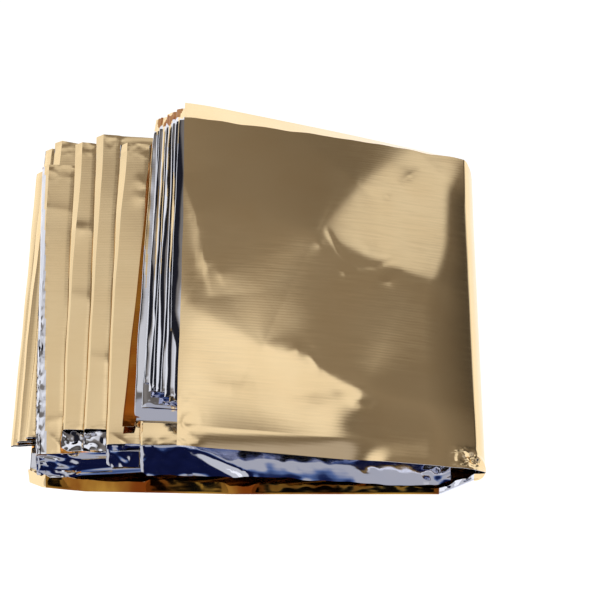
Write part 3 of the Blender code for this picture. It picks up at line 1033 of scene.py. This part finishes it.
GOLD = foil_material("gold_foil", (0.95, 0.73, 0.43), (0.93, 0.70, 0.40), 0.12, 0.028)
# Amber is painted shade: a deep orange-brown gold that stands in for gold seen in shade, reflecting gold in
# narrow gaps.
AMBER_SHADE = foil_material("amber_shade_foil", (0.36, 0.15, 0.022), (0.27, 0.065, 0.006), 0.12, 0.04)
# Honey is painted shade too: a darker orange-brown gold for the hem in the shaded gap under the flaps.
HONEY_SHADE = foil_material("honey_shade_foil", (0.44, 0.24, 0.04), (0.16, 0.035, 0.004), 0.12, 0.04)
SILVER = foil_material("silver_foil", (0.80, 0.81, 0.88), (0.76, 0.78, 0.87), 0.07, 0.02)

# Every piece has these materials: gold and silver foil, and amber and honey painted shade. A face has one of
# them on its own side and the next one on its other side. Its own side shows on the panel, the hem and the
# steps, and its other side on the flaps and pleats.
FOILS_AND_SHADES = (GOLD, SILVER, AMBER_SHADE, GOLD, HONEY_SHADE, GOLD)
GOLD_SILVER = 0
SILVER_AND_AMBER_SHADE = 1
AMBER_SHADE_AND_GOLD = 2
HONEY_SHADE_AND_GOLD = 4


def silver_along_edge(place):
    """Silver in a narrow band along the left fold of the step."""
    width = mix(SILVER_EDGE_FRONT, SILVER_EDGE_BACK, clamp(depth_share(place.y)))
    on_step = place.y > front_edge_y(STEP_A_TOP, place.x)
    in_band = place.x < left_end_x(STEP_A_TOP, place.y) + width
    return SILVER_AND_AMBER_SHADE if on_step and in_band else GOLD_SILVER


def amber_shade_by_packet(place):
    """Painted shade: amber on the left side of the last step, where the packet shades it."""
    at_left = place.x < left_end_x(STEP_F_TOP, place.y) + LAST_STEP_SHADE_WIDTH
    return AMBER_SHADE_AND_GOLD if at_left and place.z > LAST_STEP_Z else GOLD_SILVER


def base_foils_and_shade(place):
    """A hem painted with honey shade for the shade in the gap under the flaps, gold at its left end and
    silver at its right, and a silver margin behind it.
    """
    from_front = place.y - front_edge_y(0, place.x)
    if place.z > HEM_TOP_Z and from_front < HEM_DEPTH_LEFT:
        if place.x > HEM_SILVER_X:
            return SILVER_AND_AMBER_SHADE
        return HONEY_SHADE_AND_GOLD if place.x > HEM_SHADE_X else GOLD_SILVER
    return SILVER_AND_AMBER_SHADE if from_front < SILVER_MARGIN else GOLD_SILVER


def packet_foils_and_shade(place):
    """The pleats show silver, with gold streaks to the back, and amber painted shade and gold where they
    turn down.
    """
    if place.x > PANEL.x_front:
        return GOLD_SILVER
    if place.y > PACKET_GOLD_Y + PACKET_GOLD_WAVE * uneven(place.x / PACKET_GOLD_WAVE_LENGTH, 4.0, 1.0):
        patch = uneven(place.x / PACKET_SHADE_WIDTH, place.y / PACKET_SHADE_LENGTH, 5.0)
        return SILVER_AND_AMBER_SHADE if patch > PACKET_SHADE_FROM else AMBER_SHADE_AND_GOLD
    streak = uneven(place.x / PACKET_STREAK_WIDTH, place.y / PACKET_STREAK_LENGTH, 8.0)
    streaked = streak > PACKET_STREAK_FROM and place.y > PACKET_STREAK_Y
    return AMBER_SHADE_AND_GOLD if streaked else GOLD_SILVER


# ---- The sheet's pieces ----


def fill_mesh(mesh, columns, foil_and_shade_at):
    """The flat cut as a grid of 1 by 1, with each point moved to its place in the folded sheet. The UVs
    are in metres: along the strip from the piece's first column, and the depth."""
    rows = len(columns[0])
    middle = rows // 2
    along = [0.0]
    for a, b in zip(columns, columns[1:]):
        along.append(along[-1] + (b[middle] - a[middle]).length)
    bm = bmesh.new()
    bmesh.ops.create_grid(bm, x_segments=len(columns) - 1, y_segments=rows - 1, size=0.5)
    uv_layer = bm.loops.layers.uv.new("UVMap")
    places = {}
    for vert in bm.verts:
        column = round((vert.co.x + 0.5) * (len(columns) - 1))
        row = round((vert.co.y + 0.5) * (rows - 1))
        point = columns[column][row]
        places[vert.index] = (along[column] * MM, point.y * MM)
        vert.co = point * MM + PLAN_ORIGIN
    for face in bm.faces:
        face.smooth = True
        if foil_and_shade_at:
            face.material_index = foil_and_shade_at((face.calc_center_median() - PLAN_ORIGIN) / MM)
        for loop in face.loops:
            loop[uv_layer].uv = places[loop.vert.index]
    bm.normal_update()
    for edge in bm.edges:
        edge.smooth = edge.calc_face_angle(math.pi) < CREASE_ANGLE
    bm.to_mesh(mesh)
    bm.free()


def make_sheet(name, columns, foil_and_shade_at=None):
    """One piece of the folded strip, with the film's thickness and its two sides."""
    mesh = bpy.data.meshes.new(name)
    fill_mesh(mesh, columns, foil_and_shade_at)
    for material in FOILS_AND_SHADES:
        mesh.materials.append(material)
    sheet = bpy.data.objects.new(name, mesh)
    bpy.context.scene.collection.objects.link(sheet)
    film = sheet.modifiers.new("film", "SOLIDIFY")
    film.thickness = FILM * MM
    film.offset = 0.0
    film.material_offset = 1
    film.material_offset_rim = 1
    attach(sheet, "root")
    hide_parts("blanket")


make_sheet("top_panel", top_panel_columns())
make_sheet(
    "base",
    stretch_of_sheet([0, 1], False, BASE_ROWS, {0: EDGE_STEP, 1: EDGE_STEP}),
    base_foils_and_shade,
)
make_sheet("lower_fan", stretch_of_sheet(range(2, STEP_A_TOP - 1), False, STRIP_ROWS))
make_sheet(
    "silver_edged_step",
    stretch_of_sheet([STEP_A_TOP - 1, STEP_A_TOP], False, EDGED_ROWS),
    silver_along_edge,
)
make_sheet(
    "upper_fan",
    stretch_of_sheet(range(STEP_A_TOP + 1, FAN_LEVELS), False, STRIP_ROWS, {SHELF_LEVEL: EDGE_STEP}),
    amber_shade_by_packet,
)
make_sheet("packet", packet_columns(), packet_foils_and_shade)


# ---- Studio ----

# A patch of the studio's walls or ceiling, in degrees: its colour is whole within the inner angle, and
# fades out to the outer one.
Patch = namedtuple("Patch", "name azimuth elevation inner outer colour")

PATCHES = (
    Patch("left_softbox", -24, 67, 8, 17, (0.71, 0.70, 0.69)),
    Patch("back_softbox", 20, 70, 7, 15, (0.95, 0.95, 0.95)),
    Patch("high_softbox", 56, 68.5, 3, 10, (0.92, 0.92, 0.92)),
    Patch("right_softbox", 36.5, 40.5, 1, 8.5, (0.75, 0.75, 0.75)),
    Patch("dark_flag", -52, 38, 12, 17, (0.014, 0.014, 0.019)),
    Patch("left_wall", -64, 15, 9, 13, (0.9, 0.9, 0.9)),
)

# How bright the studio's wall is, by the height of the direction in which it lies.
WALL_STOPS = ((0.0, 1.0), (0.30, 1.0), (0.42, 0.04), (0.58, 0.14), (0.80, 0.25), (1.0, 0.14))

# The wall in front of the object, by how far a direction leans that way: pale overhead, then dark blue,
# and paler again far off.
FRONT_STOPS = (
    (0.40, (0.45, 0.45, 0.49)),
    (0.47, (0.10, 0.16, 0.34)),
    (0.53, (0.012, 0.022, 0.085)),
    (0.62, (0.004, 0.006, 0.03)),
    (0.96, (0.008, 0.012, 0.06)),
    (0.99, (0.32, 0.33, 0.42)),
)
FRONT_STARTS = (0.04, 0.14)

# Low down it's lit: not from the first of these heights up, and wholly from the second one down. To the
# left both heights rise.
LIT_FRONT_HEIGHTS = (0.54, 0.44)
LIT_FRONT_COLOUR = (0.62, 0.62, 0.64)
LIT_LEFT_X = -0.1
LIT_LEFT_RISE = 0.8

# What is left of a dark grey's green and blue.
DARK_GREEN_SHARE = 0.86
DARK_BLUE_SHARE = 0.72

FLOOR_SIZE = 6.0
FLOOR_GAP = 0.0002
FLOOR_GREY = (0.35, 0.35, 0.35, 1.0)
FLOOR_GLOW = 0.95

CAMERA_DISTANCE = 1.0
CAMERA_ELEVATION = 60.0
CAMERA_LENS = 129.0


def direction(azimuth, elevation):
    """A unit vector; azimuth 0 is away from the camera, 90 is to the right."""
    a, e = math.radians(azimuth), math.radians(elevation)
    return Vector((math.sin(a) * math.cos(e), math.cos(a) * math.cos(e), math.sin(e)))


def warm_grey(value):
    """A grey that grows a little browner as it darkens."""
    return (value, value * mix(DARK_GREEN_SHARE, 1.0, value), value * mix(DARK_BLUE_SHARE, 1.0, value))


def colour_ramp(n, value, stops):
    node = n.add("ShaderNodeValToRGB", Fac=value)
    elements = node.color_ramp.elements
    while len(elements) < len(stops):
        elements.new(0.5)
    for element, (place, colour) in zip(elements, stops):
        element.position = place
        element.color = (*colour, 1.0)
    return node.outputs["Color"]


def patch_share(n, towards, patch):
    """How much of a patch lies in a direction."""
    aim = n.add("ShaderNodeVectorMath", {"operation": "DOT_PRODUCT"})
    n.set(aim.inputs[0], towards)
    aim.inputs[1].default_value = direction(patch.azimuth, patch.elevation)
    inner, outer = math.cos(math.radians(patch.inner)), math.cos(math.radians(patch.outer))
    return n.ramp_between(aim.outputs["Value"], outer, inner)


def lit_front_share(n, parts, in_front):
    """How much of the lit lower part of the front wall lies in a direction."""
    to_left = n.math("MINIMUM", n.math("SUBTRACT", parts["X"], LIT_LEFT_X), 0.0)
    lowness = n.math("ADD", parts["Z"], n.math("MULTIPLY", to_left, LIT_LEFT_RISE))
    return n.math("MULTIPLY", n.ramp_between(lowness, *LIT_FRONT_HEIGHTS), in_front)


def make_world():
    world = bpy.data.worlds.new("studio")
    bpy.context.scene.world = world
    world.use_nodes = True
    n = Nodes(world.node_tree)
    towards = n.add("ShaderNodeTexCoord").outputs["Generated"]
    parts = n.add("ShaderNodeSeparateXYZ", Vector=towards).outputs
    light = colour_ramp(n, parts["Z"], [(z, warm_grey(value)) for z, value in WALL_STOPS])
    for patch in PATCHES:
        light = n.blend(light, (*patch.colour, 1.0), patch_share(n, towards, patch))
    leaning = n.math("MULTIPLY", parts["Y"], -1.0)
    in_front = n.ramp_between(leaning, *FRONT_STARTS)
    light = n.blend(light, colour_ramp(n, leaning, FRONT_STOPS), in_front)
    light = n.blend(light, (*LIT_FRONT_COLOUR, 1.0), lit_front_share(n, parts, in_front))
    background = world.node_tree.nodes["Background"]
    n.set(background.inputs["Color"], light)
    background.inputs["Strength"].default_value = 1.0


def make_floor():
    bpy.ops.mesh.primitive_plane_add(size=FLOOR_SIZE, location=(0.0, 0.0, -FLOOR_GAP))
    floor = bpy.context.object
    floor.name = "floor"
    material = bpy.data.materials.new("white_sweep")
    material.use_nodes = True
    shader = material.node_tree.nodes["Principled BSDF"]
    shader.inputs["Base Color"].default_value = FLOOR_GREY
    shader.inputs["Roughness"].default_value = 0.7
    shader.inputs["Emission Color"].default_value = (1.0, 1.0, 1.0, 1.0)
    shader.inputs["Emission Strength"].default_value = FLOOR_GLOW
    floor.data.materials.append(material)


def make_camera():
    data = bpy.data.cameras.new("camera")
    camera = bpy.data.objects.new("camera", data)
    bpy.context.scene.collection.objects.link(camera)
    camera.location = PLAN_ORIGIN + direction(180, CAMERA_ELEVATION) * CAMERA_DISTANCE
    camera.rotation_euler = (math.radians(90 - CAMERA_ELEVATION), 0.0, 0.0)
    data.lens = CAMERA_LENS
    bpy.context.scene.camera = camera


make_world()
make_floor()
make_camera()
bpy.context.scene.view_settings.view_transform = "Standard"
